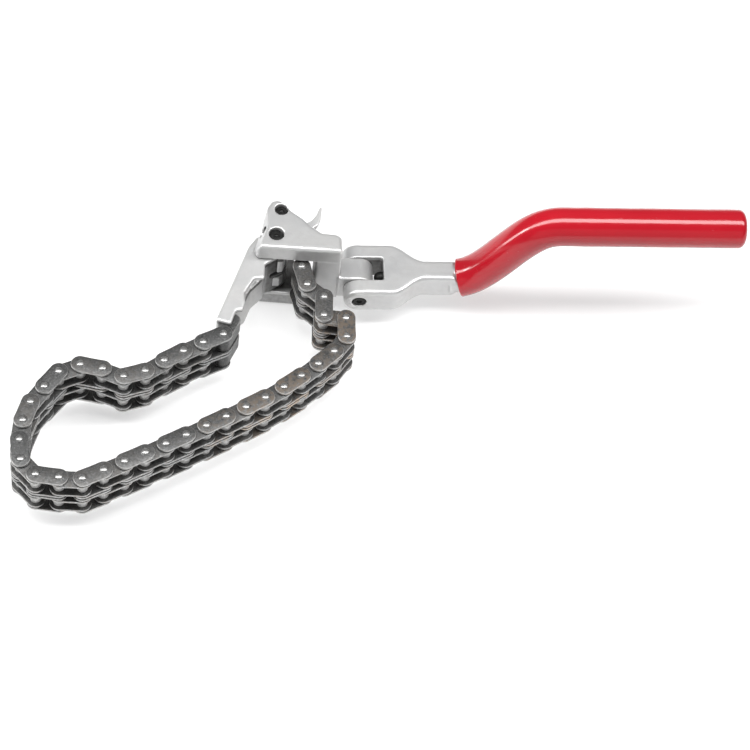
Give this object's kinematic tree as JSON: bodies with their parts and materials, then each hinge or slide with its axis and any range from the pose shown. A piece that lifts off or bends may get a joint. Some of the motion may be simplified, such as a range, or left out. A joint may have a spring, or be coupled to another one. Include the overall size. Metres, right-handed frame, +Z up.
{
  "type": "chain filter wrench",
  "caption": "Chain wrench: cast head with a chain slot and pivoting jaw arm, two-strand chain looped from the arm to the slot, and a cranked flex handle with a red dipped grip.",
  "frame": {"origin": "point on the flat underside of the head, beside the web", "axes": "+X from the head towards the handle, +Y away from the chain loop, +Z up through the head, along the chain's pins"},
  "size_m": [0.3127, 0.1485, 0.0624],
  "materials": {
    "cast_satin": "satin, cast and tumbled",
    "chain_steel": "oiled dark steel with brown tints",
    "black_pin": "black oxide",
    "spring_wire": "bright wire",
    "grip_red": "glossy dipped vinyl"
  },
  "bodies": {
    "head": {"head_body": "cast_satin", "arm_pivot_pin": "black_pin", "lever_pin": "black_pin", "pin_lock_screw": "black_pin", "lever_spring": "spring_wire"},
    "jaw_arm": {"jaw_arm": "cast_satin"},
    "release_lever": {"release_lever": "cast_satin"},
    "handle": {"handle_bar": "cast_satin", "grip": "grip_red", "flex_pin": "black_pin", "friction_plunger": "black_pin", "plunger_spring": "spring_wire"},
    "outer_link_01": {"outer_link_01": "chain_steel"},
    "inner_link_01": {"inner_link_01": "chain_steel"},
    "outer_link_02": {"outer_link_02": "chain_steel"},
    "inner_link_02": {"inner_link_02": "chain_steel"},
    "outer_link_03": {"outer_link_03": "chain_steel"},
    "inner_link_03": {"inner_link_03": "chain_steel"},
    "outer_link_04": {"outer_link_04": "chain_steel"},
    "inner_link_04": {"inner_link_04": "chain_steel"},
    "outer_link_05": {"outer_link_05": "chain_steel"},
    "inner_link_05": {"inner_link_05": "chain_steel"},
    "outer_link_06": {"outer_link_06": "chain_steel"},
    "inner_link_06": {"inner_link_06": "chain_steel"},
    "outer_link_07": {"outer_link_07": "chain_steel"},
    "inner_link_07": {"inner_link_07": "chain_steel"},
    "outer_link_08": {"outer_link_08": "chain_steel"},
    "inner_link_08": {"inner_link_08": "chain_steel"},
    "outer_link_09": {"outer_link_09": "chain_steel"},
    "inner_link_09": {"inner_link_09": "chain_steel"},
    "outer_link_10": {"outer_link_10": "chain_steel"},
    "inner_link_10": {"inner_link_10": "chain_steel"},
    "outer_link_11": {"outer_link_11": "chain_steel"},
    "inner_link_11": {"inner_link_11": "chain_steel"},
    "outer_link_12": {"outer_link_12": "chain_steel"},
    "inner_link_12": {"inner_link_12": "chain_steel"},
    "outer_link_13": {"outer_link_13": "chain_steel"},
    "inner_link_13": {"inner_link_13": "chain_steel"},
    "outer_link_14": {"outer_link_14": "chain_steel"},
    "inner_link_14": {"inner_link_14": "chain_steel"},
    "outer_link_15": {"outer_link_15": "chain_steel"},
    "inner_link_15": {"inner_link_15": "chain_steel"},
    "outer_link_16": {"outer_link_16": "chain_steel"},
    "inner_link_16": {"inner_link_16": "chain_steel"},
    "outer_link_17": {"outer_link_17": "chain_steel"},
    "inner_link_17": {"inner_link_17": "chain_steel"},
    "outer_link_18": {"outer_link_18": "chain_steel"}
  },
  "joints": [
    {"name": "arm_pivot", "type": "hinge", "parent": "head", "child": "jaw_arm", "pos_m": [-0.0107, -0.0015, 0.02], "axis": [0, 0, 1], "range_deg": [-30, 0]},
    {"name": "lever_pivot", "type": "hinge", "parent": "head", "child": "release_lever", "pos_m": [-0.0081, 0.0116, 0.02], "axis": [0, 0, 1], "range_deg": [-12, 12], "stiffness_Nm_per_rad": 0.02},
    {"name": "handle_flex", "type": "hinge", "parent": "head", "child": "handle", "pos_m": [0.026, -0.006, 0.0155], "axis": [0, 1, 0], "range_deg": [-90, 90]},
    {"name": "chain_hinge_01", "type": "hinge", "parent": "jaw_arm", "child": "outer_link_01", "pos_m": [-0.034, -0.0471, 0.02], "axis": [0, 0, 1], "range_deg": [-20, 0]},
    {"name": "chain_hinge_02", "type": "hinge", "parent": "outer_link_01", "child": "inner_link_01", "pos_m": [-0.04257, -0.05126, 0.02], "axis": [0, 0, 1], "range_deg": [-9, 0]},
    {"name": "chain_hinge_03", "type": "hinge", "parent": "inner_link_01", "child": "outer_link_02", "pos_m": [-0.05093, -0.05582, 0.02], "axis": [0, 0, 1], "range_deg": [-9, 0]},
    {"name": "chain_hinge_04", "type": "hinge", "parent": "outer_link_02", "child": "inner_link_02", "pos_m": [-0.05907, -0.06077, 0.02], "axis": [0, 0, 1], "range_deg": [-9, 0]},
    {"name": "chain_hinge_05", "type": "hinge", "parent": "inner_link_02", "child": "outer_link_03", "pos_m": [-0.06697, -0.0661, 0.02], "axis": [0, 0, 1], "range_deg": [-6, 0]},
    {"name": "chain_hinge_06", "type": "hinge", "parent": "outer_link_03", "child": "inner_link_03", "pos_m": [-0.07606, -0.06891, 0.02], "axis": [0, 0, 1], "range_deg": [-6, 0]},
    {"name": "chain_hinge_07", "type": "hinge", "parent": "inner_link_03", "child": "outer_link_04", "pos_m": [-0.08479, -0.0651, 0.02], "axis": [0, 0, 1], "range_deg": [-17, 0]},
    {"name": "chain_hinge_08", "type": "hinge", "parent": "outer_link_04", "child": "inner_link_04", "pos_m": [-0.0941, -0.06307, 0.02], "axis": [0, 0, 1], "range_deg": [-41, 0]},
    {"name": "chain_hinge_09", "type": "hinge", "parent": "inner_link_04", "child": "outer_link_05", "pos_m": [-0.10291, -0.0667, 0.02], "axis": [0, 0, 1], "range_deg": [-36, 0]},
    {"name": "chain_hinge_10", "type": "hinge", "parent": "outer_link_05", "child": "inner_link_05", "pos_m": [-0.10876, -0.07421, 0.02], "axis": [0, 0, 1], "range_deg": [-8, 0]},
    {"name": "chain_hinge_11", "type": "hinge", "parent": "inner_link_05", "child": "outer_link_06", "pos_m": [-0.11434, -0.08193, 0.02], "axis": [0, 0, 1], "range_deg": [-23, 0]},
    {"name": "chain_hinge_12", "type": "hinge", "parent": "outer_link_06", "child": "inner_link_06", "pos_m": [-0.11744, -0.09094, 0.02], "axis": [0, 0, 1], "range_deg": [-18, 0]},
    {"name": "chain_hinge_13", "type": "hinge", "parent": "inner_link_06", "child": "outer_link_07", "pos_m": [-0.11868, -0.10038, 0.02], "axis": [0, 0, 1], "range_deg": [-18, 0]},
    {"name": "chain_hinge_14", "type": "hinge", "parent": "outer_link_07", "child": "inner_link_07", "pos_m": [-0.11799, -0.10988, 0.02], "axis": [0, 0, 1], "range_deg": [-42, 0]},
    {"name": "chain_hinge_15", "type": "hinge", "parent": "inner_link_07", "child": "outer_link_08", "pos_m": [-0.11185, -0.11717, 0.02], "axis": [0, 0, 1], "range_deg": [-47, 0]},
    {"name": "chain_hinge_16", "type": "hinge", "parent": "outer_link_08", "child": "inner_link_08", "pos_m": [-0.10243, -0.11861, 0.02], "axis": [0, 0, 1], "range_deg": [-12, 0]},
    {"name": "chain_hinge_17", "type": "hinge", "parent": "inner_link_08", "child": "outer_link_09", "pos_m": [-0.09292, -0.11912, 0.02], "axis": [0, 0, 1], "range_deg": [-35, 0]},
    {"name": "chain_hinge_18", "type": "hinge", "parent": "outer_link_09", "child": "inner_link_09", "pos_m": [-0.08433, -0.11501, 0.02], "axis": [0, 0, 1], "range_deg": [-7, 0]},
    {"name": "chain_hinge_19", "type": "hinge", "parent": "inner_link_09", "child": "outer_link_10", "pos_m": [-0.07578, -0.11081, 0.02], "axis": [0, 0, 1], "range_deg": [-7, 0]},
    {"name": "chain_hinge_20", "type": "hinge", "parent": "outer_link_10", "child": "inner_link_10", "pos_m": [-0.06728, -0.10652, 0.02], "axis": [0, 0, 1], "range_deg": [-7, 0]},
    {"name": "chain_hinge_21", "type": "hinge", "parent": "inner_link_10", "child": "outer_link_11", "pos_m": [-0.05882, -0.10215, 0.02], "axis": [0, 0, 1], "range_deg": [-7, 0]},
    {"name": "chain_hinge_22", "type": "hinge", "parent": "outer_link_11", "child": "inner_link_11", "pos_m": [-0.0504, -0.09769, 0.02], "axis": [0, 0, 1], "range_deg": [-7, 0]},
    {"name": "chain_hinge_23", "type": "hinge", "parent": "inner_link_11", "child": "outer_link_12", "pos_m": [-0.04203, -0.09314, 0.02], "axis": [0, 0, 1], "range_deg": [-7, 0]},
    {"name": "chain_hinge_24", "type": "hinge", "parent": "outer_link_12", "child": "inner_link_12", "pos_m": [-0.03371, -0.08851, 0.02], "axis": [0, 0, 1], "range_deg": [-2, 0]},
    {"name": "chain_hinge_25", "type": "hinge", "parent": "inner_link_12", "child": "outer_link_13", "pos_m": [-0.02543, -0.08379, 0.02], "axis": [0, 0, 1], "range_deg": [-2, 0]},
    {"name": "chain_hinge_26", "type": "hinge", "parent": "outer_link_13", "child": "inner_link_13", "pos_m": [-0.01721, -0.07899, 0.02], "axis": [0, 0, 1], "range_deg": [0, 5]},
    {"name": "chain_hinge_27", "type": "hinge", "parent": "inner_link_13", "child": "outer_link_14", "pos_m": [-0.00933, -0.07364, 0.02], "axis": [0, 0, 1], "range_deg": [0, 5]},
    {"name": "chain_hinge_28", "type": "hinge", "parent": "outer_link_14", "child": "inner_link_14", "pos_m": [-0.00172, -0.0679, 0.02], "axis": [0, 0, 1], "range_deg": [0, 5]},
    {"name": "chain_hinge_29", "type": "hinge", "parent": "inner_link_14", "child": "outer_link_15", "pos_m": [0.00558, -0.06179, 0.02], "axis": [0, 0, 1], "range_deg": [0, 5]},
    {"name": "chain_hinge_30", "type": "hinge", "parent": "outer_link_15", "child": "inner_link_15", "pos_m": [0.01257, -0.05532, 0.02], "axis": [0, 0, 1], "range_deg": [0, 10]},
    {"name": "chain_hinge_31", "type": "hinge", "parent": "inner_link_15", "child": "outer_link_16", "pos_m": [0.01823, -0.04766, 0.02], "axis": [0, 0, 1], "range_deg": [0, 15]},
    {"name": "chain_hinge_32", "type": "hinge", "parent": "outer_link_16", "child": "inner_link_16", "pos_m": [0.01839, -0.03813, 0.02], "axis": [0, 0, 1], "range_deg": [0, 15]},
    {"name": "chain_hinge_33", "type": "hinge", "parent": "inner_link_16", "child": "outer_link_17", "pos_m": [0.00898, -0.03671, 0.02], "axis": [0, 0, 1], "range_deg": [0, 60]},
    {"name": "chain_hinge_34", "type": "hinge", "parent": "outer_link_17", "child": "inner_link_17", "pos_m": [0.00939, -0.02719, 0.02], "axis": [0, 0, 1], "range_deg": [0, 10]},
    {"name": "chain_hinge_35", "type": "hinge", "parent": "inner_link_17", "child": "outer_link_18", "pos_m": [0.00241, -0.02071, 0.02], "axis": [0, 0, 1], "range_deg": [0, 20]}
  ]
}
